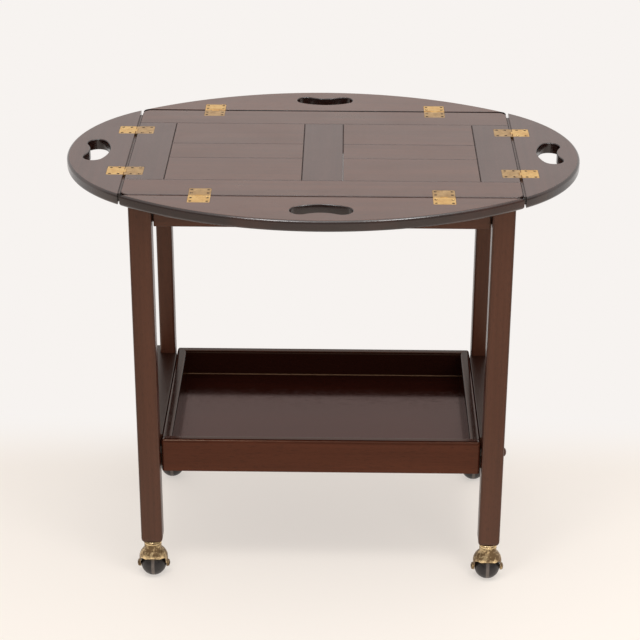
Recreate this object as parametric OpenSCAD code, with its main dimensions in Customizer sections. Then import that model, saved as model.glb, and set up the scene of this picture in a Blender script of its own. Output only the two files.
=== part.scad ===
// Butler's tea trolley: a lift-off oval tray top with four hinged leaves,
// on a four-legged stand with a lower tray and brass ball casters.
// Millimetres, +Z up, origin on the floor under the middle of the oval, front towards -Y.

/* [Oval top] */
// Height of the top surface above the floor
top_h = 731; // [650:1:800]
// Half of the oval's length, leaves down
oval_a = 430; // [420:1:440]
// Half of the oval's width, leaves down
oval_b = 309; // [300:1:318]
// Reach of an end leaf beyond its hinge line
leaf_end_w = 106.5; // [100:0.5:112]
// Reach of a side leaf beyond its hinge line
leaf_side_w = 104.5; // [98:0.5:110]
// Width of a side leaf's tip, where the end arcs pass the panel's corner
leaf_tip = 1.3; // [0.5:0.1:2]
// Width of an end leaf's tip, where the side arcs pass the panel's corner
leaf_tip_side = 1.8; // [0.5:0.1:2.5]
// Thickness of the boards of the top
top_t = 19; // [17:0.5:22]
// Gap between the centre panel and a leaf
leaf_gap = 4.4; // [4.2:0.1:5]
// Radius of the rounded outer edge of a leaf
leaf_round = 5; // [3:0.5:7]

/* [Centre panel] */
// Width of a long rail, to the hinge line
rail_w = 68.5; // [60:0.5:76]
// Width of an end piece, to the hinge line
end_w = 66.5; // [60:0.5:76]
// Width of the cross piece in the middle
cross_w = 67; // [50:1:90]
// Width of a middle board
middle_w = 68.5; // [50:0.5:90]
// Radius of the panel's four corners
panel_corner = 14; // [6:1:20]
// Chamfer along the top edges, which shows as a V groove at each joint
arris = 0.9; // [0.4:0.1:1.2]
// Width of a locating batten under the panel
batten_w = 22; // [16:1:30]
// Width of the batten under the cross piece
batten_mid_w = 40; // [30:1:60]
// Height of a batten
batten_h = 12; // [10:1:16]
// Play of the battens inside the apron frame
batten_play = 1.5; // [1:0.5:3]

/* [Hand holes] */
// Length of a hand hole from end to end
hole_len = 102; // [90:1:112]
// Width of the slot
hole_w = 36; // [24:1:38]
// Width across the bent slot
hole_across = 44; // [36:1:48]
// Outer edge of the leaf to the middle of the slot
hole_inset = 54; // [50:0.5:62]

/* [Hinges] */
// Length of an open hinge, both plates
hinge_len = 60; // [56:0.5:66]
// Width of a hinge, along its pin
hinge_w = 36; // [32:1:44]
// Thickness of a plate
plate_t = 1.5; // [1.2:0.1:1.6]
// Depth of the pin's axis below the top surface
axis_d = 1.9; // [1.8:0.05:2]
// Radius of the pin
pin_r = 1; // [0.9:0.05:1.1]
// Radius of a knuckle
knuckle_r = 1.8; // [1.7:0.05:1.8]
// Near edge of a plate to the pin's axis
plate_near = 2.05; // [2:0.05:2.2]
// Joint of a long rail to a hinge of an end leaf
hinge_in_end = 38; // [24:1:60]
// Hinge line of an end leaf to a hinge of a side leaf
hinge_in_side = 129; // [100:1:150]
// Running clearance round a pin, a stem or an axle
run_gap = 0.05; // [0.02:0.01:0.08]

/* [Stand] */
// Hinge line of an end leaf to the outer faces of the legs
stand_in_x = 12; // [10:1:20]
// Hinge line of a side leaf to the front or back faces of the legs
stand_in_y = 15; // [10:1:20]
// Width of a front leg
leg_w = 37; // [34:1:40]
// Depth of a leg
leg_d = 32; // [28:1:36]
// Height of the legs' lower ends above the floor
leg_z = 73; // [70:1:80]
// Width of the chamfer round a leg's lower end
foot_in = 6; // [4:1:6]
// Height of that chamfer
foot_up = 11; // [6:1:14]
// Thickness of the side stretchers outside the back legs
side_t = 8.5; // [7:0.5:9]
// Length of the lap that lets a stretcher into its front leg
side_lap = 6; // [4:1:6]
// Gap between the legs and the boxes, filled by washers
box_gap = 2.5; // [2:0.5:3]
// Front face of the two boxes, behind the legs' front faces
box_set = 12.5; // [10:0.5:13]
// Back face of the two boxes, before the legs' back faces
box_back = 6.5; // [5:0.5:8]
// Thickness of the aprons and of the tray's walls
wall_t = 18; // [16:1:20]
// Height of the aprons
apron_h = 47; // [40:1:60]

/* [Lower tray] */
// Height of the rim above the floor
rim_z = 272; // [240:1:320]
// Height of the tray's walls
tray_h = 61; // [50:1:70]
// Depth of the tray inside
tray_deep = 47; // [30:1:51]
// Thickness of the tray's floor
floor_t = 8; // [6:1:9]
// Depth of the groove that holds the floor
groove_d = 5; // [4:1:8]

/* [Casters] */
// Radius of the ball
ball_r = 22; // [20:0.5:23]
// Distance of the ball behind the stem
trail = 4; // [2:0.5:5]
// Outer radius of the hood
hood_r = 25; // [24.5:0.5:26]
// Radius of the hood's neck
neck_r = 14.5; // [12:0.5:15]
// Height of the hood's neck
neck_h = 15; // [5:1:16]
// Radius of the stem
stem_r = 4; // [3.5:0.5:4.5]
// Length of the stem above the hood
stem_len = 36; // [30:1:40]
// Radius of the axle
axle_r = 2.5; // [2:0.5:3]

/* [Hidden] */

wood = [0.32, 0.19, 0.15];
brass = [0.84, 0.68, 0.4];
antique = [0.6, 0.5, 0.32];
steel_dark = [0.2, 0.16, 0.13];
black = [0.16, 0.15, 0.15];

// Facets of the oval's arcs, of plain rounds and of small pins
fn_oval = 240;
fn_round = 96;
fn_pin = 48;
// Overshoot of a cutting shape
over = 1;

// Leaves are numbered right, back, left, front: a quarter turn each
RIGHT = 0;
BACK = 1;
LEFT = 2;
FRONT = 3;

// Middle to the hinge lines of the end leaves and of the side leaves
hinge_a = oval_a - leaf_end_w;
hinge_b = oval_b - leaf_side_w;

// Centre panel: its outline and the joints between its rails, ends and boards
panel_x = hinge_a - leaf_gap / 2;
panel_y = hinge_b - leaf_gap / 2;
rail_y = hinge_b - rail_w;
board_gap = 0.1;
end_x = hinge_a - end_w;
under_z = top_h - top_t;

// The oval: each arc passes just outside the panel's corners
corner_x = hinge_a + leaf_tip_side;
corner_y = hinge_b + leaf_tip;
end_arc_r = (leaf_end_w * leaf_end_w + corner_y * corner_y) / (2 * leaf_end_w);
side_arc_r = (leaf_side_w * leaf_side_w + corner_x * corner_x) / (2 * leaf_side_w);

// A leaf in its own frame: the hinge line is local Y, the leaf lies towards +X, its top at z = 0
function is_end(i) = i % 2 == 0;
function hinge_at(i) = is_end(i) ? hinge_a : hinge_b;
function leaf_out(i) = is_end(i) ? leaf_end_w : leaf_side_w;
function arc_r(i) = is_end(i) ? end_arc_r : side_arc_r;
function hinge_y(i) = is_end(i) ? rail_y - hinge_in_end : hinge_a - hinge_in_side;

// Hand hole: a slot bent along a circle, its hollow side towards the leaf's outer edge
hole_half = (hole_len - hole_w) / 2;
hole_sag = hole_across - hole_w;
hole_r = (hole_half * hole_half + hole_sag * hole_sag) / (2 * hole_sag);
hole_angle = asin(hole_half / hole_r);
hole_facets = 12;
hole_ends = [for (s = [1, -1]) hole_r * [-cos(hole_angle), s * sin(hole_angle)]];
hole_outline = concat(
    arc_points([0, 0], hole_r + hole_w / 2, 180 - hole_angle, 180 + hole_angle),
    arc_points(hole_ends[1], hole_w / 2, 180 + hole_angle, 360 + hole_angle),
    arc_points([0, 0], hole_r - hole_w / 2, 180 + hole_angle, 180 - hole_angle),
    arc_points(hole_ends[0], hole_w / 2, -hole_angle, 180 - hole_angle));

// Points of an arc from angle a0 to a1, its last point left out
function arc_points(c, r, a0, a1) =
    [for (k = [0 : hole_facets - 1]) let (w = a0 + (a1 - a0) * k / hole_facets)
        c + r * [cos(w), sin(w)]];

// Hinge screws: two rows of two on each plate
screw_far = 5.7;
screw_step = 14;
screw_side = 4.5;
screw_shank_r = 1.3;
screw_head_r = 2.4;
screw_head_h = 1.2;
screw_len = 12;
batten_screw_len = 24;
screw_gap = 0.1;
seat_gap = 0.15;
knuckle_gap = 0.1;
knuckle_len = hinge_w / 3;
// Depth of the web between a plate and its knuckle below the plate's face
web_d = 0.2;

// Stand
leg_x = hinge_a - stand_in_x;
leg_in_x = leg_x - leg_w;
side_x = leg_x - side_t;
leg_back_y = hinge_b - stand_in_y;
leg_front_y = -leg_back_y;
box_x = leg_in_x - box_gap;
box_y0 = leg_front_y + box_set;
box_y1 = leg_back_y - box_back;
in_x = box_x - wall_t;
in_y0 = box_y0 + wall_t;
in_y1 = box_y1 - wall_t;
apron_z = under_z - apron_h;
tray_z = rim_z - tray_h;
floor_z = rim_z - tray_deep - floor_t;

// Battens inside the apron frame, and the glue blocks in its corners under them
batten_y0 = in_y0 + batten_play;
batten_y1 = in_y1 - batten_play;
batten_x = in_x - batten_play - batten_w / 2;
batten_screw_end = 12;
batten_screw_in = 40;
batten_screw_mid = rail_y - batten_screw_in;
block_leg = 42;
block_room = 7;
block_h = apron_h - batten_h - block_room;

// Bolts that tie the boxes between the legs, and the button on one of them
bolt_r = 3;
bolt_head_r = 4.9;
bolt_head_h = 4;
bolt_sink = 6;
bolt_grip = 28;
bolt_drop = 22;
bolt_gap = 0.1;
bolt_end_x = box_x - bolt_grip;
bolt_front_y = box_y0 + wall_t / 2;
bolt_back_y = box_y1 - wall_t / 2;
bolt_top_z = under_z - apron_h / 2;
bolt_low_z = rim_z - bolt_drop;
washer_r = 8;
button_r = 7.5;
button_h = 5.5;

// Casters
stem_x = leg_x - leg_w / 2;
stem_back_x = (leg_in_x + side_x) / 2;
stem_y = leg_back_y - leg_d / 2;
collar_t = 2.5;
swivel_gap = 0.3;
hood_top = leg_z - collar_t - swivel_gap;
shoulder_z = hood_top - neck_h;
dome_z = 34;
neck_sunk = 6;
hood_room = 1.2;
socket_wall = 1.35;
socket_gap = 0.05;
arch_z = 41;
arch_half = 16;
arch_round = 6;
ear_x = 27.5;
ear_r = 6;
ear_low = ball_r - ear_r;
groove_w = 0.7;
groove_in = 0.5;

// Points of the hood's shoulder, an arc from the neck to the widest ring
dome_h = shoulder_z - dome_z;
dome_in = hood_r - neck_r;
dome_arc = (dome_h * dome_h + dome_in * dome_in) / (2 * dome_in);
dome_turn = asin(dome_h / dome_arc);
dome_steps = 10;
dome_points = [for (k = [0 : dome_steps]) let (w = dome_turn * k / dome_steps)
    [hood_r - dome_arc + dome_arc * cos(w), dome_z + dome_arc * sin(w)]];

// Frame of leaf number i, at the top surface
module at_leaf(i) {
    rotate([0, 0, 90 * i]) translate([hinge_at(i), 0, top_h]) children();
}

// Both hinges of leaf i, in the leaf's frame
module each_hinge(i) {
    for (s = [-1, 1]) translate([0, s * hinge_y(i), 0]) children();
}

// A box from corner p to corner q
module box(p, q) {
    translate(p) cube(q - p);
}

// A board with chamfered top edges, from corner p to corner q
module board(p, q, c = arris) {
    size = q - p;
    translate(p) intersection() {
        rotate([90, 0, 90]) linear_extrude(size.x) chamfered(size.y, size.z, c);
        translate([0, size.y, 0]) rotate([90, 0, 0])
            linear_extrude(size.y) chamfered(size.x, size.z, c);
    }
}

module chamfered(w, h, c) {
    polygon([[0, 0], [w, 0], [w, h - c], [w - c, h], [c, h], [0, h - c]]);
}

// A cylinder along X from x0 to x1
module rod_x(r, x0, x1) {
    translate([x0, 0, 0]) rotate([0, 90, 0]) cylinder(r = r, h = x1 - x0, $fn = fn_pin);
}

// A cylinder along Y, centred
module rod_y(r, len) {
    rotate([90, 0, 0]) cylinder(r = r, h = len, center = true, $fn = fn_pin);
}

// Mirror images for the side s = -1
module flip_x(s) {
    if (s < 0) mirror([1, 0, 0]) children();
    else children();
}

module flip_y(s) {
    if (s < 0) mirror([0, 1, 0]) children();
    else children();
}

// Hand hole, cut through; the slot is bent about a centre beyond it
module hand_hole(i) {
    translate([leaf_out(i) - hole_inset + hole_r, 0, -top_t - over])
        linear_extrude(top_t + 2 * over) polygon(hole_outline);
}

// Screw places of one plate that lies towards +X
module each_screw() {
    for (k = [0, 1], s = [-1, 1])
        translate([hinge_len / 2 - screw_far - k * screw_step, s * (hinge_w / 2 - screw_side), 0])
            children();
}

// A countersunk screw, its head's face at z = 0; grow widens it to a hole
module wood_screw(len, grow = 0) {
    translate([0, 0, -len])
        cylinder(r = screw_shank_r + grow, h = len - screw_head_h, $fn = fn_pin);
    translate([0, 0, -screw_head_h])
        cylinder(r1 = screw_shank_r + grow, r2 = screw_head_r + grow, h = screw_head_h, $fn = fn_pin);
}

// Seat of one plate with its pilot holes, and the room for the knuckles
module hinge_seat() {
    half = hinge_w / 2 + seat_gap;
    box([0, -half, -plate_t], [hinge_len / 2 + seat_gap, half, over]);
    each_screw() translate([0, 0, -screw_len])
        cylinder(r = screw_shank_r + screw_gap, h = screw_len, $fn = fn_pin);
}

// One plate towards +X with its knuckles: the leaf's has the middle one, the panel's the outer two
module hinge_plate(is_leaf) {
    starts = is_leaf ? [-knuckle_len / 2] : [-hinge_w / 2, knuckle_len / 2];
    long = knuckle_len - 2 * knuckle_gap;
    difference() {
        union() {
            box([plate_near, -hinge_w / 2, -plate_t], [hinge_len / 2, hinge_w / 2, 0]);
            for (y = starts) translate([0, y + knuckle_gap, -axis_d]) {
                translate([0, long / 2, 0]) rod_y(knuckle_r, long);
                box([pin_r, 0, 0], [leaf_gap / 2, long, axis_d - web_d]);
                box([pin_r, 0, axis_d - plate_t], [plate_near + over, long, axis_d - web_d]);
            }
        }
        translate([0, 0, -axis_d]) rod_y(pin_r + run_gap, hinge_w + 2 * over);
        each_screw() {
            translate([0, 0, -plate_t - over])
                cylinder(r = screw_shank_r + screw_gap, h = plate_t + 2 * over, $fn = fn_pin);
            translate([0, 0, -screw_head_h])
                cylinder(r1 = screw_shank_r + screw_gap, r2 = screw_head_r + screw_gap,
                    h = screw_head_h, $fn = fn_pin);
        }
    }
}

// A leaf: a piece of a round-edged disc, cut along the hinge line
module leaf(i) {
    r = arc_r(i);
    e = leaf_round;
    color(wood) at_leaf(i) difference() {
        intersection() {
            translate([leaf_out(i) - r, 0, -top_t]) rotate_extrude($fn = fn_oval) {
                square([r - e, top_t]);
                translate([0, e]) square([r, top_t - 2 * e]);
                translate([r - e, e]) circle(e, $fn = fn_pin);
                translate([r - e, top_t - e]) circle(e, $fn = fn_pin);
            }
            box([leaf_gap / 2, -r - over, -top_t - over], [leaf_out(i) + over, r + over, over]);
        }
        hand_hole(i);
        each_hinge(i) hinge_seat();
    }
}

module leaf_plates(i) {
    color(brass) at_leaf(i) each_hinge(i) hinge_plate(true);
}

module leaf_screws(i) {
    color(steel_dark) at_leaf(i) each_hinge(i) each_screw() wood_screw(screw_len);
}

// Hardware of the panel's side of all eight hinges
module each_panel_hinge() {
    for (i = [RIGHT : FRONT]) at_leaf(i) each_hinge(i) mirror([1, 0, 0]) children();
}

module hinge_plates_panel() {
    color(brass) each_panel_hinge() hinge_plate(false);
}

module hinge_screws_panel() {
    color(steel_dark) each_panel_hinge() each_screw() wood_screw(screw_len);
}

module hinge_pins() {
    color(brass) each_panel_hinge()
        translate([0, 0, -axis_d]) rod_y(pin_r, hinge_w - 2 * knuckle_gap);
}

// Centre panel: two long rails, two ends, a cross piece and three boards in each half
module panel_rail(i, s) {
    c = panel_corner;
    color(wood) difference() {
        flip_y(s) difference() {
            board([-panel_x, rail_y, under_z], [panel_x, panel_y, top_h]);
            for (m = [-1, 1]) flip_x(m) translate([panel_x - c, panel_y - c, under_z - over])
                difference() {
                    cube([c + over, c + over, top_t + 2 * over]);
                    translate([0, 0, -over]) cylinder(r = c, h = top_t + 4 * over, $fn = fn_round);
                }
        }
        at_leaf(i) each_hinge(i) mirror([1, 0, 0]) hinge_seat();
        each_batten_screw() wood_screw(batten_screw_len, screw_gap);
    }
}

module panel_end(i, s) {
    color(wood) difference() {
        flip_x(s) board([end_x, -rail_y, under_z], [panel_x, rail_y, top_h]);
        at_leaf(i) each_hinge(i) mirror([1, 0, 0]) hinge_seat();
        each_batten_screw() wood_screw(batten_screw_len, screw_gap);
    }
}

module panel_cross() {
    color(wood) difference() {
        board([-cross_w / 2, -rail_y, under_z], [cross_w / 2, rail_y, top_h]);
        each_batten_screw() wood_screw(batten_screw_len, screw_gap);
    }
}

module panel_boards(s) {
    half = middle_w / 2;
    rows = [[-rail_y, -half - board_gap], [-half, half], [half + board_gap, rail_y]];
    color(wood) difference() {
        for (row = rows) flip_x(s)
            board([cross_w / 2, row[0], under_z], [end_x, row[1], top_h]);
        each_batten_screw() wood_screw(batten_screw_len, screw_gap);
    }
}

// Battens under the panel; the outer two sit just inside the side aprons
module each_batten_screw() {
    ends = [batten_y0 + batten_screw_end, batten_y1 - batten_screw_end];
    for (x = [-batten_x, 0, batten_x], y = concat(ends, [-batten_screw_mid, batten_screw_mid]))
        translate([x, y, under_z - batten_h]) mirror([0, 0, 1]) children();
}

module panel_battens() {
    color(wood) difference() {
        for (p = [[-batten_x, batten_w], [0, batten_mid_w], [batten_x, batten_w]])
            box([p.x - p.y / 2, batten_y0, under_z - batten_h],
                [p.x + p.y / 2, batten_y1, under_z]);
        each_batten_screw() wood_screw(batten_screw_len, screw_gap);
    }
}

module batten_screws() {
    color(steel_dark) each_batten_screw() wood_screw(batten_screw_len);
}

// Where the eight bolts are, in a frame whose +X points out of the stand
module each_bolt() {
    for (s = [-1, 1], y = [bolt_front_y, bolt_back_y], z = [bolt_low_z, bolt_top_z])
        flip_x(s) translate([0, y, z]) children();
}

module bolt_holes() {
    each_bolt() {
        rod_x(bolt_r + bolt_gap, bolt_end_x, leg_x);
        rod_x(bolt_head_r + bolt_gap, leg_x - bolt_sink, leg_x + over);
    }
}

module frame_bolts() {
    color(steel_dark) each_bolt() {
        rod_x(bolt_r, bolt_end_x, leg_x - bolt_sink);
        rod_x(bolt_head_r, leg_x - bolt_sink, leg_x - bolt_sink + bolt_head_h);
    }
}

module bolt_washers() {
    color(steel_dark) each_bolt() difference() {
        rod_x(washer_r, box_x, leg_in_x);
        rod_x(bolt_r + bolt_gap, box_x - over, leg_in_x + over);
    }
}

module bolt_plugs() {
    color(wood) each_bolt() rod_x(bolt_head_r, leg_x - bolt_sink + bolt_head_h, leg_x);
}

// Turned button over the lower bolt of the right front leg
module bolt_button() {
    rise = (button_r * button_r + button_h * button_h) / (2 * button_h);
    color(wood) translate([leg_x, bolt_front_y, bolt_low_z]) rotate([0, 90, 0]) intersection() {
        translate([0, 0, button_h - rise]) sphere(r = rise, $fn = fn_round);
        cylinder(r = rise, h = button_h + over, $fn = fn_pin);
    }
}

// Side stretchers, level with the aprons and with the tray, rabbeted round the back legs
module stretcher(s, z0, z1) {
    color(wood) difference() {
        flip_x(s) {
            box([side_x, leg_front_y + leg_d - side_lap, z0], [leg_x, leg_back_y, z1]);
            box([box_x, leg_front_y + leg_d, z0], [side_x + over, leg_back_y - leg_d, z1]);
        }
        bolt_holes();
    }
}

module stretcher_top(s) {
    stretcher(s, apron_z, under_z);
}

module stretcher_low(s) {
    stretcher(s, tray_z, rim_z);
}

// A square post whose lower end is chamfered all round
module post(w, d, h) {
    intersection() {
        rotate([90, 0, 90]) linear_extrude(w) footed(d, h);
        translate([0, d, 0]) rotate([90, 0, 0]) linear_extrude(d) footed(w, h);
    }
}

module footed(w, h) {
    polygon([[foot_in, 0], [w - foot_in, 0], [w, foot_up], [w, h], [0, h], [0, foot_up]]);
}

module leg_holes() {
    bolt_holes();
    for (s = [-1, 1]) {
        stretcher_top(s);
        stretcher_low(s);
    }
    each_caster() translate([0, 0, leg_z - over])
        cylinder(r = stem_r + run_gap + socket_wall + socket_gap, h = stem_len + over, $fn = fn_pin);
}

module leg_front(s) {
    color(wood) difference() {
        flip_x(s) translate([leg_in_x, leg_front_y, leg_z]) post(leg_w, leg_d, under_z - leg_z);
        leg_holes();
    }
}

module leg_back(s) {
    color(wood) difference() {
        flip_x(s) translate([leg_in_x, leg_back_y - leg_d, leg_z])
            post(side_x - leg_in_x, leg_d, under_z - leg_z);
        leg_holes();
    }
}

// Apron frame and tray are two boxes of the same plan
module wall_y(y0, z0, z1) {
    color(wood) difference() {
        box([-box_x, y0, z0], [box_x, y0 + wall_t, z1]);
        bolt_holes();
    }
}

module wall_x(s, z0, z1) {
    color(wood) flip_x(s) box([in_x, in_y0, z0], [box_x, in_y1, z1]);
}

module floor_box() {
    box([-in_x - groove_d, in_y0 - groove_d, floor_z],
        [in_x + groove_d, in_y1 + groove_d, floor_z + floor_t]);
}

module tray_floor() {
    color(wood) floor_box();
}

module tray_wall_y(y0) {
    difference() {
        wall_y(y0, tray_z, rim_z);
        floor_box();
    }
}

module tray_wall_x(s) {
    difference() {
        wall_x(s, tray_z, rim_z);
        floor_box();
    }
}

module corner_blocks() {
    color(wood) for (sx = [-1, 1]) flip_x(sx) for (c = [[in_y0, 1], [in_y1, -1]])
        translate([in_x, c[0], apron_z]) linear_extrude(block_h)
            polygon([[0, 0], [-block_leg, 0], [0, c[1] * block_leg]]);
}

// The four casters: side along X, side along Y, distance from the middle
module at_caster(sx, sy) {
    x = sy < 0 ? stem_x : stem_back_x;
    translate([sx * x, sy * stem_y, 0]) children();
}

module each_caster() {
    for (sx = [-1, 1], sy = [-1, 1]) at_caster(sx, sy) children();
}

module caster_sockets() {
    outer = stem_r + run_gap + socket_wall;
    color(antique) each_caster() difference() {
        union() {
            translate([0, 0, leg_z - collar_t]) cylinder(r = neck_r, h = collar_t, $fn = fn_pin);
            translate([0, 0, leg_z]) cylinder(r = outer, h = stem_len, $fn = fn_pin);
        }
        translate([0, 0, leg_z - collar_t - over])
            cylinder(r = stem_r + run_gap, h = stem_len + 2 * collar_t + over, $fn = fn_pin);
    }
}

// Hood over the ball, open in arches at front and back, with its stem
module caster_hood() {
    color(antique) translate([0, trail, 0]) difference() {
        union() {
            translate([0, 0, ear_low]) cylinder(r = hood_r, h = dome_z - ear_low, $fn = fn_round);
            rotate_extrude($fn = fn_round)
                polygon(concat([[0, dome_z]], dome_points, [[0, shoulder_z]]));
            translate([0, -trail, shoulder_z - neck_sunk])
                cylinder(r = neck_r, h = neck_h + neck_sunk, $fn = fn_round);
            translate([0, -trail, hood_top - over])
                cylinder(r = stem_r, h = stem_len + over, $fn = fn_pin);
            translate([0, 0, ball_r]) rod_x(ear_r, -ear_x, ear_x);
        }
        translate([0, 0, ball_r]) sphere(r = ball_r + hood_room, $fn = fn_round);
        translate([0, 0, ball_r]) rod_x(axle_r + run_gap, -ear_x - over, ear_x + over);
        hood_arch();
    }
}

// Opening through the hood from front to back, its upper corners rounded
module hood_arch() {
    y = hood_r + over;
    wide = arch_half + arch_round;
    box([-arch_half, -y, 0], [arch_half, y, arch_z]);
    box([-wide, -y, 0], [wide, y, arch_z - arch_round]);
    for (s = [-1, 1]) translate([s * arch_half, 0, arch_z - arch_round])
        rod_y(arch_round, 2 * y);
}

module caster_axle() {
    color(steel_dark) translate([0, trail, ball_r]) rod_x(axle_r, -ear_x, ear_x);
}

// Ball turned round its axle, with a fine parting groove round its middle
module caster_ball() {
    hole = axle_r + run_gap;
    color(black) translate([0, trail, ball_r]) rotate([0, 90, 0]) rotate_extrude($fn = fn_round)
        difference() {
            intersection() {
                circle(ball_r, $fn = fn_round);
                translate([hole, -ball_r]) square([ball_r, 2 * ball_r]);
            }
            translate([ball_r - groove_in, -groove_w / 2]) square([groove_in + over, groove_w]);
        }
}

leg_front(-1);  // leg_front_left
leg_front(1);  // leg_front_right
leg_back(-1);  // leg_back_left
leg_back(1);  // leg_back_right
wall_y(box_y0, apron_z, under_z);  // apron_front
wall_y(in_y1, apron_z, under_z);  // apron_back
wall_x(-1, apron_z, under_z);  // apron_left
wall_x(1, apron_z, under_z);  // apron_right
corner_blocks();
stretcher_top(-1);  // stretcher_top_left
stretcher_top(1);  // stretcher_top_right
stretcher_low(-1);  // stretcher_low_left
stretcher_low(1);  // stretcher_low_right
tray_wall_y(box_y0);  // tray_front
tray_wall_y(in_y1);  // tray_back
tray_wall_x(-1);  // tray_left
tray_wall_x(1);  // tray_right
tray_floor();
frame_bolts();
bolt_washers();
bolt_plugs();
bolt_button();
caster_sockets();
at_caster(-1, -1) caster_hood();  // hood_front_left
at_caster(1, -1) caster_hood();  // hood_front_right
at_caster(-1, 1) caster_hood();  // hood_back_left
at_caster(1, 1) caster_hood();  // hood_back_right
at_caster(-1, -1) caster_axle();  // axle_front_left
at_caster(1, -1) caster_axle();  // axle_front_right
at_caster(-1, 1) caster_axle();  // axle_back_left
at_caster(1, 1) caster_axle();  // axle_back_right
at_caster(-1, -1) caster_ball();  // ball_front_left
at_caster(1, -1) caster_ball();  // ball_front_right
at_caster(-1, 1) caster_ball();  // ball_back_left
at_caster(1, 1) caster_ball();  // ball_back_right
panel_rail(FRONT, -1);  // panel_rail_front
panel_rail(BACK, 1);  // panel_rail_back
panel_end(LEFT, -1);  // panel_end_left
panel_end(RIGHT, 1);  // panel_end_right
panel_cross();
panel_boards(-1);  // panel_boards_left
panel_boards(1);  // panel_boards_right
panel_battens();
batten_screws();
hinge_plates_panel();
hinge_pins();
hinge_screws_panel();
leaf(RIGHT);  // leaf_right
leaf(BACK);  // leaf_back
leaf(LEFT);  // leaf_left
leaf(FRONT);  // leaf_front
leaf_plates(RIGHT);  // plates_right
leaf_plates(BACK);  // plates_back
leaf_plates(LEFT);  // plates_left
leaf_plates(FRONT);  // plates_front
leaf_screws(RIGHT);  // screws_right
leaf_screws(BACK);  // screws_back
leaf_screws(LEFT);  // screws_left
leaf_screws(FRONT);  // screws_front
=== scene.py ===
import math
import random

import bpy
from mathutils import Matrix, Vector


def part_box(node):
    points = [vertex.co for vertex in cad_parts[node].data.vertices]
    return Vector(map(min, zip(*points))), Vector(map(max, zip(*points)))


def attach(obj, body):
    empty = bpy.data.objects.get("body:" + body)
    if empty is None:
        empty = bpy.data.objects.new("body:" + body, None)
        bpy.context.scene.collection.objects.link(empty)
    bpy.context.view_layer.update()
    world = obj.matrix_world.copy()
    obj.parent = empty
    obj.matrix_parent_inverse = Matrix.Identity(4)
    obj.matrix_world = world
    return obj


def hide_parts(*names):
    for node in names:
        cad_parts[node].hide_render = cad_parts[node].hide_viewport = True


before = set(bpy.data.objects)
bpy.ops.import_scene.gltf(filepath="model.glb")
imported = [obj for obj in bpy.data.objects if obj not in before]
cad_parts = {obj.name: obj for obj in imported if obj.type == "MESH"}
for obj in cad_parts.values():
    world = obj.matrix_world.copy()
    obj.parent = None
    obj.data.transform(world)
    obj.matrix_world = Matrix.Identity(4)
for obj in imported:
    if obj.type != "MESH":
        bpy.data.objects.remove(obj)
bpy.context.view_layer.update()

# Butler's tea trolley in satin mahogany with brass tray hinges and ball casters.
# Metres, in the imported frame: +X along the oval, +Y away from the camera, +Z up.
mm = 0.001
sides = ["right", "back", "left", "front"]
corners = [(fb, lr) for fb in ("front", "back") for lr in ("left", "right")]


# Selecting and shaping

def deselect():
    bpy.ops.object.select_all(action="DESELECT")


def only(piece):
    deselect()
    piece.select_set(True)
    bpy.context.view_layer.objects.active = piece


def enterEdit(piece, kind, test):
    # kind is VERT, EDGE or FACE; test gets a place, two places, or a centre and a normal
    only(piece)
    mesh = piece.data
    for part in (mesh.vertices, mesh.edges, mesh.polygons):
        part.foreach_set("select", [False] * len(part))
    places = [v.co for v in mesh.vertices]
    if kind == "VERT":
        for v in mesh.vertices:
            v.select = test(v.co)
    elif kind == "EDGE":
        for e in mesh.edges:
            e.select = test(places[e.vertices[0]], places[e.vertices[1]])
    else:
        for f in mesh.polygons:
            f.select = test(f.center, f.normal)
    bpy.context.tool_settings.mesh_select_mode = (kind == "VERT", kind == "EDGE", kind == "FACE")
    bpy.ops.object.mode_set(mode="EDIT")


def leaveEdit():
    bpy.ops.object.mode_set(mode="OBJECT")


def allFaces(centre, normal):
    return True


def roundEdges(piece, offset, segments, test):
    enterEdit(piece, "EDGE", test)
    bpy.ops.mesh.bevel(offset=offset, segments=segments, profile=0.5, affect="EDGES")
    leaveEdit()


def facesOut(piece):
    enterEdit(piece, "FACE", allFaces)
    bpy.ops.mesh.remove_doubles(threshold=1e-6)
    bpy.ops.mesh.normals_make_consistent(inside=False)
    leaveEdit()


def applyModifier(piece, kind, **settings):
    only(piece)
    modifier = piece.modifiers.new("step", kind)
    for key, value in settings.items():
        setattr(modifier, key, value)
    bpy.ops.object.modifier_apply(modifier=modifier.name)


def combine(piece, operation, *others):
    for other in others:
        applyModifier(piece, "BOOLEAN", operation=operation, solver="EXACT", object=other)
        bpy.data.objects.remove(other)


def cutAway(piece, *cutters):
    combine(piece, "DIFFERENCE", *cutters)


def joinAll(name, pieces):
    deselect()
    for piece in pieces:
        piece.select_set(True)
    bpy.context.view_layer.objects.active = pieces[0]
    if len(pieces) > 1:
        bpy.ops.object.join()
    pieces[0].name = name
    return pieces[0]


def copyOf(piece, matrix):
    twin = piece.copy()
    twin.data = piece.data.copy()
    bpy.context.scene.collection.objects.link(twin)
    twin.data.transform(matrix)
    if matrix.determinant() < 0:
        twin.data.flip_normals()
    return twin


def near(a, b, slack=0.05 * mm):
    return abs(a - b) < slack


def levelAt(z):
    return lambda a, b: near(a.z, z) and near(b.z, z)


def upright(a, b):
    return near(a.x, b.x) and near(a.y, b.y)


def inMetres(rows):
    # Profiles are written in millimetres
    return [tuple(v * mm for v in row) for row in rows]


def settled(name):
    # The new primitive, with its place in its mesh
    bpy.ops.object.transform_apply(location=True, rotation=True, scale=True)
    piece = bpy.context.object
    piece.name = name
    return piece


def block(name, low, high):
    deselect()
    low, high = Vector(low), Vector(high)
    bpy.ops.mesh.primitive_cube_add(size=1, location=(low + high) / 2, scale=high - low)
    return settled(name)


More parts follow.
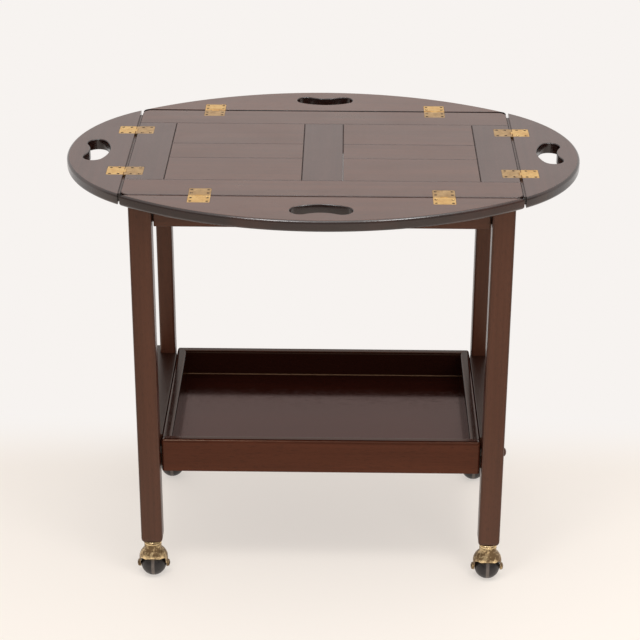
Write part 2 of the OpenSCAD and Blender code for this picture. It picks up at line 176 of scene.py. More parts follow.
def turned(name, centre, axis, rings, count):
    # One ring extruded along the axis; rings are (place on axis, radius, sideways)
    deselect()
    along = Vector([float(axis == a) for a in "XYZ"])
    tilt = {"X": (0, math.pi / 2, 0), "Y": (math.pi / 2, 0, 0), "Z": (0, 0, 0)}[axis]
    rings = [ring if len(ring) == 3 else (*ring, 0) for ring in rings]
    side = Vector((0, 1, 0))

    def middle(ring):
        return Vector(centre) + along * ring[0] + side * ring[2]

    bpy.ops.mesh.primitive_circle_add(vertices=count, radius=rings[0][1], fill_type="NGON",
                                      location=middle(rings[0]), rotation=tilt)
    piece = settled(name)
    bpy.context.tool_settings.mesh_select_mode = (False, True, False)
    bpy.ops.object.mode_set(mode="EDIT")
    bpy.ops.mesh.select_all(action="SELECT")
    for before, ring in zip(rings, rings[1:]):
        step = middle(ring) - middle(before)
        bpy.ops.mesh.extrude_edges_move(TRANSFORM_OT_translate={"value": step})
        grow = [ring[1] / before[1]] * 3
        bpy.ops.transform.resize(value=grow, center_override=middle(ring))
    bpy.ops.mesh.edge_face_add()
    leaveEdit()
    facesOut(piece)
    return piece


def shadeByAngle(piece, degrees):
    only(piece)
    bpy.ops.object.shade_smooth_by_angle(angle=math.radians(degrees))


def keepFlats(piece):
    # Large flat faces keep their own normal next to rounded edges
    applyModifier(piece, "WEIGHTED_NORMAL", keep_sharp=True, weight=100)


# Shader node helpers

def newMaterial(name):
    material = bpy.data.materials.new(name)
    material.use_nodes = True
    tree = material.node_tree
    return material, tree, tree.nodes["Principled BSDF"]


def addNode(tree, kind, **settings):
    node = tree.nodes.new(kind)
    for key, value in settings.items():
        setattr(node, key, value)
    return node


def feed(tree, node, sources):
    # Each source, by its socket's name or number, is another socket or a plain value
    for name, source in sources.items():
        if isinstance(source, bpy.types.NodeSocket):
            tree.links.new(source, node.inputs[name])
        else:
            node.inputs[name].default_value = source


def math2(tree, operation, a, b=0.0, clamp=False):
    node = addNode(tree, "ShaderNodeMath", operation=operation, use_clamp=clamp)
    feed(tree, node, {0: a, 1: b})
    return node.outputs[0]


def plus(tree, a, b, clamp=False):
    return math2(tree, "ADD", a, b, clamp)


def times(tree, a, b):
    return math2(tree, "MULTIPLY", a, b)


def mixColour(tree, factor, a, b):
    node = addNode(tree, "ShaderNodeMix", data_type="RGBA")
    feed(tree, node, {"Factor": factor, 6: a, 7: b})
    return node.outputs[2]


def tinged(tree, colour, mask, share, screenColour):
    # The colour moved towards another where the mask is high
    return mixColour(tree, times(tree, mask, share), colour, rgb(*screenColour))


def mapRange(tree, value, fromLow, fromHigh, toLow=0.0, toHigh=1.0, smooth=False):
    node = addNode(tree, "ShaderNodeMapRange", clamp=True)
    if smooth:
        node.interpolation_type = "SMOOTHSTEP"
    feed(tree, node, {0: value, 1: fromLow, 2: fromHigh, 3: toLow, 4: toHigh})
    return node.outputs[0]


def noise(tree, place, scale, detail=3.0, roughness=0.5, distortion=0.0):
    node = addNode(tree, "ShaderNodeTexNoise")
    feed(tree, node, {"Vector": place, "Scale": scale, "Detail": detail, "Roughness": roughness,
                      "Distortion": distortion})
    return node.outputs["Fac"]


def mapped(tree, place, **settings):
    node = addNode(tree, "ShaderNodeMapping")
    feed(tree, node, {"Vector": place, **settings})
    return node.outputs[0]


def attribute(tree, name, output="Fac"):
    return addNode(tree, "ShaderNodeAttribute", attribute_name=name).outputs[output]


def objectPlace(tree):
    return addNode(tree, "ShaderNodeTexCoord").outputs["Object"]


def splitPlace(tree, place):
    apart = addNode(tree, "ShaderNodeSeparateXYZ")
    feed(tree, apart, {0: place})
    return apart.outputs


def addBump(tree, shader, height, look):
    bump = addNode(tree, "ShaderNodeBump")
    feed(tree, bump, {"Strength": look["bump"], "Distance": look["bumpDeep"], "Height": height})
    feed(tree, shader, {"Normal": bump.outputs[0]})


def newGroup(name, inputs, outputs):
    group = bpy.data.node_groups.new(name, "ShaderNodeTree")
    for socketName, kind in inputs:
        group.interface.new_socket(socketName, in_out="INPUT", socket_type=kind)
    for socketName in outputs:
        group.interface.new_socket(socketName, in_out="OUTPUT", socket_type="NodeSocketFloat")
    return group, group.nodes.new("NodeGroupInput"), group.nodes.new("NodeGroupOutput")


def useGroup(tree, group, **values):
    node = addNode(tree, "ShaderNodeGroup", node_tree=group)
    feed(tree, node, values)
    return node.outputs


def rgb(r, g, b):
    # A colour given as it looks on screen, from 0 to 255
    def linear(v):
        v = v / 255
        return v / 12.92 if v <= 0.04045 else ((v + 0.055) / 1.055) ** 2.4
    return (linear(r), linear(g), linear(b), 1.0)


# Mahogany figure: broad streaks, fine streaks, growth rings round a pith, and pores

figure = {"drift": (1.6, 5, 5), "broad": (1.3, 34, 34), "fine": (7, 300, 300),
          "pores": (90, 1900, 1900), "pith": (0.031, 0.055), "rings": 760.0, "ringDrift": 26.0,
          "broadShare": 0.62, "fineShare": 0.3, "ringShare": 0.035, "middle": 0.46,
          "poreFrom": 0.62, "poreTo": 0.7, "fineHeight": 0.25}


def makeGrainGroup():
    group, given, out = newGroup(
        "mahoganyGrain", [("Place", "NodeSocketVector"), ("Contrast", "NodeSocketFloat")],
        ["Figure", "Pores", "Height"])
    place = given.outputs["Place"]
    drift = noise(group, mapped(group, place, Scale=figure["drift"]), 1.0, 2.0)
    broad = noise(group, mapped(group, place, Scale=figure["broad"]), 1.0, 4.0, 0.55, 0.6)
    fine = noise(group, mapped(group, place, Scale=figure["fine"]), 1.0, 3.0, 0.6)
    apart = splitPlace(group, place)
    acrossSq, depthSq = [math2(group, "POWER", plus(group, apart[k], figure["pith"][k - 1]), 2.0)
                         for k in (1, 2)]
    radius = math2(group, "SQRT", plus(group, acrossSq, depthSq))
    rings = math2(group, "SINE", plus(group, times(group, radius, figure["rings"]),
                                      times(group, drift, figure["ringDrift"])))
    streaks = plus(group, times(group, broad, figure["broadShare"]),
                   times(group, fine, figure["fineShare"]))
    streaks = plus(group, streaks, times(group, rings, figure["ringShare"]))
    centred = math2(group, "SUBTRACT", streaks, figure["middle"])
    streaks = plus(group, times(group, centred, given.outputs["Contrast"]), 0.5, clamp=True)
    poreNoise = noise(group, mapped(group, place, Scale=figure["pores"]), 1.0, 1.0, 0.4)
    pores = mapRange(group, poreNoise, figure["poreFrom"], figure["poreTo"])
    height = math2(group, "SUBTRACT", times(group, fine, figure["fineHeight"]), pores)
    feed(group, out, {"Figure": streaks, "Pores": pores, "Height": height})
    return group


def makeSpecksGroup():
    # Slow blotches and small specks, for wear, patina and dust
    group, given, out = newGroup(
        "specksAndBlotches", [("Place", "NodeSocketVector"), ("Scale", "NodeSocketFloat")],
        ["Blotches", "Specks"])
    scaled = addNode(group, "ShaderNodeVectorMath", operation="SCALE")
    feed(group, scaled, {0: given.outputs["Place"], "Scale": given.outputs["Scale"]})
    blotches = noise(group, scaled.outputs[0], 1.0, 4.0, 0.6, 0.4)
    specks = noise(group, scaled.outputs[0], 6.5, 2.0, 0.5)
    feed(group, out, {"Blotches": blotches, "Specks": mapRange(group, specks, 0.6, 0.75)})
    return group


grainGroup = makeGrainGroup()
specksGroup = makeSpecksGroup()


# Finishes; colours are as on screen, and a share is how far a tinge goes

# rim is the colour of the painted shade on rounded edges, standing in for the dark room they reflect
lacquer = {"specks": 9.0, "toneShare": 0.22, "pore": (26, 12, 9), "poreShare": 0.55,
           "rim": (24, 9, 6), "rimGloss": 0.5, "worn": (104, 55, 38), "wornShare": 0.2,
           "groove": (44, 22, 16), "grooveShare": 0.8, "grooveRough": 0.25,
           # inside is the colour of the painted shade on faces turned from the light
           "inside": (24, 6, 4), "paintedShadeShare": 0.85, "bump": 0.35, "bumpDeep": 0.06 * mm}


def makeWood(name, dark, light, roughness, contrast=1.3, ior=1.5, rim=0.0, turn=None,
             tint=(1, 1, 1, 1), level=0.5):
    # Lacquered mahogany; boards carry their grain's place, and a CAD node's is turned to its grain
    material, tree, shader = newMaterial(name)
    if turn is None:
        place = attribute(tree, "grain", "Vector")
        tone, edge = attribute(tree, "tone"), attribute(tree, "edge")
    else:
        place, tone, edge = mapped(tree, objectPlace(tree), Rotation=turn), 0.0, 0.0
    grain = useGroup(tree, grainGroup, Place=place, Contrast=contrast)
    specks = useGroup(tree, specksGroup, Place=place, Scale=lacquer["specks"])
    shade = plus(tree, grain["Figure"], times(tree, tone, lacquer["toneShare"]), clamp=True)
    colour = mixColour(tree, shade, rgb(*dark), rgb(*light))
    colour = tinged(tree, colour, grain["Pores"], lacquer["poreShare"], lacquer["pore"])
    eased = mapRange(tree, edge, 0.0, 1.0)
    # Painted shade: rounded edges darkened by the rim share, for the dark room they reflect
    colour = tinged(tree, colour, eased, rim, lacquer["rim"])
    worn = times(tree, eased, mapRange(tree, specks["Blotches"], 0.5, 0.75))
    colour = tinged(tree, colour, worn, lacquer["wornShare"], lacquer["worn"])
    inGroove = mapRange(tree, edge, 0.0, -1.0)
    colour = tinged(tree, colour, inGroove, lacquer["grooveShare"], lacquer["groove"])
    if turn is None:
        # Painted shade: hollows, inner faces and tops that the light hardly reaches are darkened
        inside = attribute(tree, "inside")
        colour = tinged(tree, colour, inside, lacquer["paintedShadeShare"], lacquer["inside"])
    gloss = mapRange(tree, specks["Blotches"], 0.2, 0.8, roughness * 0.85, roughness * 1.2)
    rimGloss = mapRange(tree, eased, 0.0, 1.0, 1.0, 1.0 - lacquer["rimGloss"] * rim)
    gloss = plus(tree, times(tree, gloss, rimGloss), times(tree, inGroove, lacquer["grooveRough"]))
    feed(tree, shader, {"Base Color": colour, "Roughness": gloss, "IOR": ior,
                        "Specular IOR Level": level, "Specular Tint": tint})
    addBump(tree, shader, grain["Height"], lacquer)
    return material


hingeLook = {"specks": 70.0, "brushed": (160, 160, 160), "stainShare": 0.6, "roughRange": 0.16,
             "bump": 0.25, "bumpDeep": 0.05 * mm}


def makeHingeBrass(name, bright, deep, stain, roughness):
    # Cast brass, dull in patches, faintly brushed
    material, tree, shader = newMaterial(name)
    place = objectPlace(tree)
    specks = useGroup(tree, specksGroup, Place=place, Scale=hingeLook["specks"])
    brushed = noise(tree, mapped(tree, place, Scale=hingeLook["brushed"]), 1.0, 3.0)
    dull = mapRange(tree, specks["Blotches"], 0.3, 0.7)
    colour = mixColour(tree, dull, rgb(*bright), rgb(*deep))
    colour = tinged(tree, colour, specks["Specks"], hingeLook["stainShare"], stain)
    rough = mapRange(tree, brushed, 0.2, 0.8, roughness, roughness + hingeLook["roughRange"])
    feed(tree, shader, {"Base Color": colour, "Metallic": 1.0, "Roughness": rough})
    addBump(tree, shader, brushed, hingeLook)
    return material


casterLook = {"specks": 75.0, "dents": 230.0, "dentShare": 0.6, "unrubbed": 0.16, "rubbedAndSheen": -0.2,
              "patina": (0.63, 0.97), "bright": (246, 218, 168), "dark": (116, 92, 62),
              "speck": (70, 52, 36), "speckShare": 0.5, "metallic": (0.9, 0.6),
              "rough": (0.24, 0.46), "bump": 0.5, "bumpDeep": 0.35 * mm}


def makeCasterBrass():
    # Antique brass, slightly hammered: bright where the rub-and-sheen mask is high (rubbed wear on
    # the neck beads, and painted sheen at the hood's low front and back), dark patina elsewhere
    look = casterLook
    material, tree, shader = newMaterial("casterBrass")
    place = objectPlace(tree)
    specks = useGroup(tree, specksGroup, Place=place, Scale=look["specks"])
    dents = noise(tree, place, look["dents"], 2.0, 0.5)
    dulled = mapRange(tree, attribute(tree, "rub"), 0.0, 1.0, look["unrubbed"], look["rubbedAndSheen"])
    patina = plus(tree, specks["Blotches"], times(tree, dents, look["dentShare"]))
    patina = mapRange(tree, plus(tree, patina, dulled), *look["patina"])
    colour = mixColour(tree, patina, rgb(*look["bright"]), rgb(*look["dark"]))
    colour = tinged(tree, colour, specks["Specks"], look["speckShare"], look["speck"])
    feed(tree, shader, {"Base Color": colour,
                        "Metallic": mapRange(tree, patina, 0.0, 1.0, *look["metallic"]),
                        "Roughness": mapRange(tree, patina, 0.0, 1.0, *look["rough"])})
    addBump(tree, shader, dents, look)
    return material


def makeSteel(name, colour, rust, roughness, metallic):
    material, tree, shader = newMaterial(name)
    blotches = useGroup(tree, specksGroup, Place=objectPlace(tree), Scale=260.0)["Blotches"]
    rough = mapRange(tree, blotches, 0.2, 0.8, roughness, roughness + 0.2)
    feed(tree, shader, {"Base Color": mixColour(tree, blotches, rgb(*colour), rgb(*rust)),
                        "Metallic": metallic, "Roughness": rough})
    return material


ballLook = {"specks": 160.0, "strip": (3.8 * mm, 1.6 * mm), "stripPatches": (0.65, 1.0),
            "dark": (30, 26, 26), "light": (44, 39, 38), "stripColour": (105, 96, 90),
            "speck": (96, 90, 86), "speckShare": 0.25, "rough": (0.3, 0.5),
            "bump": 0.2, "bumpDeep": 0.1 * mm}


def makeBallPlastic():
    # Dark moulded ball with a paler strip along the parting line
    look = ballLook
    material, tree, shader = newMaterial("ballPlastic")
    specks = useGroup(tree, specksGroup, Place=objectPlace(tree), Scale=look["specks"])
    fromSeam = math2(tree, "ABSOLUTE", attribute(tree, "seam"))
    strip = mapRange(tree, fromSeam, *look["strip"], smooth=True)
    strip = times(tree, strip, mapRange(tree, specks["Blotches"], 0.2, 0.6, *look["stripPatches"]))
    colour = mixColour(tree, specks["Blotches"], rgb(*look["dark"]), rgb(*look["light"]))
    colour = mixColour(tree, strip, colour, rgb(*look["stripColour"]))
    colour = tinged(tree, colour, specks["Specks"], look["speckShare"], look["speck"])
    rough = mapRange(tree, specks["Blotches"], 0.2, 0.8, *look["rough"])
    feed(tree, shader, {"Base Color": colour, "Roughness": rough})
    addBump(tree, shader, specks["Specks"], look)
    return material


finishes = {
    "top": makeWood("topWood", (62, 38, 28), (98, 62, 48), 0.3, ior=1.74, rim=0.92),
    # Painted shade: boards whose grain runs across get a darker, cooler copy of the top's wood, for
    # the satin sheen that lights boards along X more
    "topAcrossShaded": makeWood("topWoodAcross", (54, 36, 30), (86, 58, 50), 0.3, ior=1.74, rim=0.92),
    "stand": makeWood("standWood", (56, 29, 19), (88, 50, 35), 0.32, rim=0.2,
                      tint=(1, 0.85, 0.72, 1)),
    "wall": makeWood("wallWood", (54, 24, 15), (82, 41, 27), 0.16, 1.2, rim=0.3,
                     tint=(1, 0.7, 0.5, 1), level=0.3),
    # Painted shade: the tray floor is a darker copy of the wood, for the shade under the top
    "tray": makeWood("trayWood", (34, 11, 7), (58, 23, 15), 0.12, 1.2, ior=1.52,
                     tint=(1, 0.4, 0.3, 1)),
    "filler": makeWood("jointFiller", (96, 70, 48), (134, 104, 76), 0.5, 1.2),
    "nodeWood": makeWood("nodeWood", (60, 34, 26), (96, 58, 46), 0.5, turn=(0, 0, math.pi / 2)),
    "leafBrass": makeHingeBrass("leafBrass", (236, 198, 126), (208, 160, 92), (150, 106, 56), 0.26),
    "panelBrass": makeHingeBrass("panelBrass", (206, 172, 122), (168, 134, 90), (112, 82, 52),
                                 0.32),
    "caster": makeCasterBrass(),
    "screw": makeSteel("darkScrew", (54, 38, 26), (36, 25, 19), 0.45, 0.5),
    "bolt": makeSteel("boltSteel", (52, 44, 38), (40, 30, 24), 0.4, 0.6),
    "ball": makeBallPlastic(),
}
print("finishes made")


# Handing a finished piece to the frame
# Its attributes: "grain", "tone", "edge" (rounded 1, for wear and the painted rim shade; groove -1),
# "inside" (0 to 1, painted shade on faces turned from light)

shading = {"boardAngle": 35, "metalAngle": 32, "flatNormal": 0.995, "toneSpread": 0.12,
           "grainShift": (3, 0.4, 0.4)}


def dress(piece, finish):
    piece.data.materials.clear()
    piece.data.materials.append(finishes[finish])


def setAttribute(piece, name, domain, values):
    # values are numbers or vectors, one for each point or face
    isVector = isinstance(values[0], Vector)
    kind = "FLOAT_VECTOR" if isVector else "FLOAT"
    field = piece.data.attributes.get(name) or piece.data.attributes.new(name, kind, domain)
    if isVector:
        field.data.foreach_set("vector", [x for v in values for x in v])
    else:
        field.data.foreach_set("value", values)


def markPoints(piece, name, measure):
    setAttribute(piece, name, "POINT", [measure(v.co) for v in piece.data.vertices])


def markFaces(piece, name, measure):
    setAttribute(piece, name, "FACE",
                 [float(measure(f.center, f.normal)) for f in piece.data.polygons])


def grainFor(piece, along, tone):
    # The place of each point in its own board: grain first, then across, then depth
    draw = random.Random(piece.name)
    shift = Vector([draw.uniform(-reach, reach) for reach in shading["grainShift"]])
    order = {"X": (0, 1, 2), "Y": (1, 0, 2), "Z": (2, 0, 1)}[along]
    ownTone = tone + draw.uniform(-shading["toneSpread"], shading["toneSpread"])
    markPoints(piece, "grain", lambda p: Vector([p[k] for k in order]) + shift)
    markPoints(piece, "tone", lambda p: ownTone)


def markEdges(piece, grooved):
    # Rounded faces are worn a little and take the finish's painted rim shade; V grooves, where
    # grooved says so, are dark
    def edge(centre, normal):
        flat = max(abs(x) for x in normal) > shading["flatNormal"]
        return -1.0 if grooved and grooved(centre, normal) else 0.0 if flat else 1.0
    markFaces(piece, "edge", edge)


def hand(piece, body, slot, *nodes):
    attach(piece, body)
    if nodes:
        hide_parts(*nodes)


def finishBoard(piece, along, finish, body, slot, *nodes, grooved=None, tone=0.0):
    shadeByAngle(piece, shading["boardAngle"])
    keepFlats(piece)
    grainFor(piece, along, tone)
    markEdges(piece, grooved)
    dress(piece, finish)
    hand(piece, body, slot, *nodes)


def finishMetal(piece, finish, body, slot, *nodes):
    shadeByAngle(piece, shading["metalAngle"])
    keepFlats(piece)
    dress(piece, finish)
    hand(piece, body, slot, *nodes)


# Legs, with rounded corners and a rounded lower end

legs = {"ease": 3.5 * mm, "footIn": 4.5 * mm, "footUp": 9 * mm, "footSteps": 5,
        "topEase": 0.8 * mm, "level": 0.3 * mm}


def makeLeg(node):
    low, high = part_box(node)
    piece = block(node + "_wood", (low.x, low.y, low.z + legs["footUp"]), high)
    middle = (low + high) / 2
    wide, deep = high.x - low.x, high.y - low.y
    enterEdit(piece, "FACE", lambda centre, normal: normal.z < -0.9)
    insideX, insideY, down = wide, deep, 0.0
    for k in range(1, legs["footSteps"] + 1):
        angle = math.pi / 2 * k / legs["footSteps"]
        newDown = legs["footUp"] * math.sin(angle)
        inset = legs["footIn"] * (1 - math.cos(angle))
        newX, newY = wide - 2 * inset, deep - 2 * inset
        step = (0, 0, down - newDown)
        bpy.ops.mesh.extrude_region_move(TRANSFORM_OT_translate={"value": step})
        bpy.ops.transform.resize(value=(newX / insideX, newY / insideY, 1),
                                 center_override=(middle.x, middle.y, 0))
        insideX, insideY, down = newX, newY, newDown
    leaveEdit()
    roundEdges(piece, legs["ease"], 4, lambda a, b: abs(a.z - b.z) > legs["level"])
    roundEdges(piece, legs["topEase"], 2, levelAt(high.z))
    finishBoard(piece, "Z", "stand", "stand", "wood", node)


for fb, lr in corners:
    makeLeg(f"leg_{fb}_{lr}")
print("legs made")


# Aprons and stretchers: eased boards

boards = {"ease": 1.2 * mm, "lap": 6 * mm, "paintedShadeTop": 0.9}


def easedBoard(name, low, high, ease=boards["ease"], segments=3):
    piece = block(name, low, high)
    roundEdges(piece, ease, segments, lambda a, b: True)
    return piece


for where, along in (("front", "X"), ("back", "X"), ("left", "Y"), ("right", "Y")):
    node = "apron_" + where
    piece = easedBoard(node + "_wood", *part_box(node))
    finishBoard(piece, along, "stand", "stand", "wood", node)

for level in ("top", "low"):
    for lr in ("left", "right"):
        # a thick board between the legs and a thin one outside the back leg, made as one
        node = f"stretcher_{level}_{lr}"
        low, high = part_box(node)
        backLow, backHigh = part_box("leg_back_" + lr)
        low.y += boards["lap"]  # the lap is inside the front leg
        thinLow, thinHigh = low.copy(), high.copy()
        if lr == "left":
            thinHigh.x = backLow.x
        else:
            thinLow.x = backHigh.x
        piece = easedBoard(node + "_wood", low, (high.x, backLow.y, high.z))
        combine(piece, "UNION", easedBoard("thin", thinLow, thinHigh))
        finishBoard(piece, "Y", "stand", "stand", "wood", node)
        # Painted shade on the stretchers' tops, between the legs and the tray
        markFaces(piece, "inside", lambda centre, normal: boards["paintedShadeTop"] * (normal.z > 0.7))
print("aprons and stretchers made")


# Lower tray: walls with a rounded rim, a filler bead at the back and a glossy floor

tray = {"rim": 5.5 * mm, "ease": 1 * mm, "corner": 4 * mm, "lap": 5.4 * mm, "floorEase": 0.5 * mm,
        "filler": 1.3 * mm, "fillerRound": 0.8, "fillerSunk": 0.6 * mm, "fillerIn": 1 * mm,
        "paintedShadeTop": {"X": 0.5, "Y": 0.95}}


def uprightAt(y):
    return lambda a, b: upright(a, b) and near(a.y, y)


def makeTrayWall(node, along):
    low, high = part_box(node)
    side = 1 if low.x + low.y + high.x + high.y > 0 else -1
    if along == "Y":  # the laps are inside the long walls
        low.y, high.y = low.y - tray["lap"], high.y + tray["lap"]
    piece = block(node + "_wood", low, high)
    atRim = levelAt(high.z)
    if along == "X":
        roundEdges(piece, tray["corner"], 5, uprightAt(high.y if side > 0 else low.y))
        roundEdges(piece, tray["rim"], 6, atRim)
    else:
        roundEdges(piece, tray["rim"], 6, lambda a, b: atRim(a, b) and near(a.x, b.x))
    roundEdges(piece, tray["ease"], 2, levelAt(low.z))
    finishBoard(piece, along, "wall", "stand", "wood", node)
    # Painted shade on the walls' inner faces, and a painted dark reflection of the legs on their tops
    inward, paintedShadeTop = "YX".index(along), tray["paintedShadeTop"][along]
    markFaces(piece, "inside", lambda centre, normal: max(-side * normal[inward] > 0.6,
                                                          paintedShadeTop * (normal.z > 0.97)))


for where, along in (("front", "X"), ("back", "X"), ("left", "Y"), ("right", "Y")):
    makeTrayWall("tray_" + where, along)
floorLow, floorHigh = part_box("tray_floor")
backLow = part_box("tray_back")[0]
beadTop = floorHigh.z + tray["filler"]
piece = block("tray_filler",
              (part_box("tray_left")[1].x - tray["fillerIn"], backLow.y - tray["filler"],
               floorHigh.z - tray["fillerSunk"]),
              (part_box("tray_right")[0].x + tray["fillerIn"], backLow.y + tray["fillerIn"], beadTop))
roundEdges(piece, tray["filler"] * tray["fillerRound"], 3,
           lambda a, b: near(a.z, beadTop) and near(b.z, a.z) and max(a.y, b.y) < backLow.y)
finishBoard(piece, "X", "filler", "stand", "wood")
piece = easedBoard("tray_floor_wood", floorLow, floorHigh, tray["floorEase"], 1)
finishBoard(piece, "X", "tray", "stand", "wood", "tray_floor")
print("tray made")


# Hinges: cast brass plates let into the wood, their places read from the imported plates
# sink, screw and knuckleEnd are profiles in millimetres

hinge = {"width": 36 * mm, "length": 60 * mm, "plateT": 1.5 * mm, "plateNear": 2.05 * mm,
         "axisDown": 1.9 * mm, "knuckleR": 1.8 * mm, "knuckleGap": 0.12 * mm,
         "knuckleEnd": [(0, 0.3), (0.08, 0.1), (0.3, 0)], "webNear": 0.6 * mm,
         "webLap": 0.5 * mm, "webLift": 0.05 * mm, "webTop": -0.25 * mm, "webEase": 0.15 * mm,
         "cornerR": 1.6 * mm, "cornerFrom": 10 * mm, "arris": 0.22 * mm, "seatGap": 0.2 * mm,
         "seatDeeper": 0.02 * mm, "seatOver": 2 * mm, "seatBack": 0.5 * mm,
         "screwFar": 5.7 * mm, "screwStep": 14 * mm, "screwSide": 4.5 * mm,
         "sink": [(-3, 1.45), (-1.35, 1.45), (-0.02, 2.62), (1, 3.2)],
         "screw": [(-12, 0.25), (-10.6, 1), (-9.5, 1.3), (-1.3, 1.3), (-0.22, 2.3), (-0.1, 2.38),
                   (-0.03, 2.25)],
         "slotHalf": (3 * mm, 0.35 * mm), "slotDown": 0.7 * mm}
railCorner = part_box("panel_rail_back")[1]
topZ = railCorner.z
mirrorX = Matrix.Diagonal((-1, 1, 1, 1))


def leafFrame(side):
    # At the middle of the leaf's hinge line on the top surface, +X out over the leaf
    low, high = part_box("leaf_" + side)
    index = sides.index(side)
    spot = [(low.x + railCorner.x) / 2, (low.y + railCorner.y) / 2,
            (high.x - railCorner.x) / 2, (high.y - railCorner.y) / 2][index]
    place = (0, spot, topZ) if index % 2 else (spot, 0, topZ)
    return Matrix.Translation(place) @ Matrix.Rotation(math.pi / 2 * index, 4, "Z")


def hingeFrames(side):
    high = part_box("plates_" + side)[1]
    reach = high.x if sides.index(side) % 2 else high.y
    along = reach - hinge["width"] / 2
    return [leafFrame(side) @ Matrix.Translation((0, end * along, 0)) for end in (-1, 1)]


def screwPlaces():
    far = hinge["length"] / 2 - hinge["screwFar"]
    across = hinge["width"] / 2 - hinge["screwSide"]
    return [Vector((far - k * hinge["screwStep"], s * across, 0)) for k in (0, 1) for s in (-1, 1)]


def farCorners(a, b):
    return upright(a, b) and a.x > hinge["cornerFrom"]


def seatCutter(frameMatrix, forLeaf):
    half = hinge["width"] / 2 + hinge["seatGap"]
    cutter = block("seat", (-hinge["seatBack"], -half, -hinge["plateT"] - hinge["seatDeeper"]),
                   (hinge["length"] / 2 + hinge["seatGap"], half, hinge["seatOver"]))
    roundEdges(cutter, hinge["cornerR"], 4, farCorners)
    cutter.data.transform(frameMatrix if forLeaf else frameMatrix @ mirrorX)
    if not forLeaf:
        cutter.data.flip_normals()
    return cutter


def makePlate(name, forLeaf):
    half = hinge["width"] / 2
    plate = block(name, (hinge["plateNear"], -half, -hinge["plateT"]),
                  (hinge["length"] / 2, half, 0))
    roundEdges(plate, hinge["cornerR"], 5, farCorners)
    roundEdges(plate, hinge["arris"], 2, levelAt(0))
    for place in screwPlaces():
        cutAway(plate, turned("sink", place, "Z", inMetres(hinge["sink"]), 32))
    third = hinge["width"] / 3
    end, r = inMetres(hinge["knuckleEnd"]), hinge["knuckleR"]
    parts = [plate]
    for start in [-third / 2] if forLeaf else [-half, third / 2]:
        y0, y1 = start + hinge["knuckleGap"], start + third - hinge["knuckleGap"]
        rings = [(y0 + inward, r - less) for inward, less in end]
        rings += [(y1 - inward, r - less) for inward, less in reversed(end)]
        parts.append(turned("knuckle", (0, 0, -hinge["axisDown"]), "Y", rings, 28))
        web = block("web", (hinge["webNear"], y0, -hinge["plateT"] + hinge["webLift"]),
                    (hinge["plateNear"] + hinge["webLap"], y1, hinge["webTop"]))
        roundEdges(web, hinge["webEase"], 1,
                   lambda a, b: near(a.z, b.z) and near(a.x, b.x) and a.z > -1 * mm)
        parts.append(web)
    return joinAll(name, parts)


def makeScrew():
    head = turned("screw", (0, 0, 0), "Z", inMetres(hinge["screw"]), 24)
    x, y = hinge["slotHalf"]
    cutAway(head, block("slot", (-x, -y, -hinge["slotDown"]), (x, y, 1 * mm)))
    return head


leafPlate, panelPlate = makePlate("leafPlate", True), makePlate("panelPlate", False)
screw = makeScrew()
turnScrew = random.Random("hinge screws")


def screwsFor(frameMatrix):
    copies = []
    for place in screwPlaces():
        spin = Matrix.Rotation(turnScrew.uniform(0, math.pi), 4, "Z")
        copies.append(copyOf(screw, frameMatrix @ Matrix.Translation(place) @ spin))
    return copies


def finishHinges(plates, screws, plateName, screwName, finish, body, plateNode, screwNode):
    finishMetal(joinAll(plateName, plates), finish, body, "hinge_brass", plateNode)
    finishMetal(joinAll(screwName, screws), "screw", body, "dark_steel", screwNode)


panelPlates, panelScrews = [], []
for side in sides:
    leafPlates, leafScrews = [], []
    for place in hingeFrames(side):
        leafPlates.append(copyOf(leafPlate, place))
        panelPlates.append(copyOf(panelPlate, place @ mirrorX))
        leafScrews += screwsFor(place)
        panelScrews += screwsFor(place @ Matrix.Rotation(math.pi, 4, "Z"))
    finishHinges(leafPlates, leafScrews, f"plates_{side}_brass", f"screws_{side}_steel",
                 "leafBrass", "leaf_" + side, "plates_" + side, "screws_" + side)
finishHinges(panelPlates, panelScrews, "hinge_plates_panel_brass", "hinge_screws_panel_steel",
             "panelBrass", "top", "hinge_plates_panel", "hinge_screws_panel")
for prototype in (leafPlate, panelPlate, screw):
    bpy.data.objects.remove(prototype)
print("hinges made")


# Centre panel of the top: boards with V grooves between them

panel = {"groove": 1 * mm, "slit": 0.2 * mm, "corner": 14 * mm, "under": 0.8 * mm,
         "middleW": 68.5 * mm, "grooveDeep": 1.3 * mm, "sheenToneAlong": 0.25, "sheenToneAcross": 0.1,
         "toneOf": {"panel_end_left": 0.55}}


def inGroove(centre, normal):
    return 0.2 < normal.z < 0.97 and centre.z > topZ - panel["grooveDeep"]


def panelBoard(name, low, high, along, seats, node, corner=0.0):
    slit = Vector((panel["slit"], panel["slit"], 0))
    low, high = Vector(low) + slit, Vector(high) - slit
    piece = block(name, low, high)
    if corner:
        roundEdges(piece, corner, 10, uprightAt(low.y if low.y < 0 else high.y))
    roundEdges(piece, panel["groove"], 1, levelAt(topZ))
    roundEdges(piece, panel["under"], 2, levelAt(low.z))
    cutAway(piece, *[seatCutter(place, False) for place in seats])
    # Painted sheen: the tone for each grain direction lightens boards along X more than those across
    finish, tone = "top", panel["sheenToneAlong"]
    if along == "Y":
        finish, tone = "topAcrossShaded", panel["toneOf"].get(node, panel["sheenToneAcross"])
    finishBoard(piece, along, finish, "top", "wood_top", node, grooved=inGroove, tone=tone)


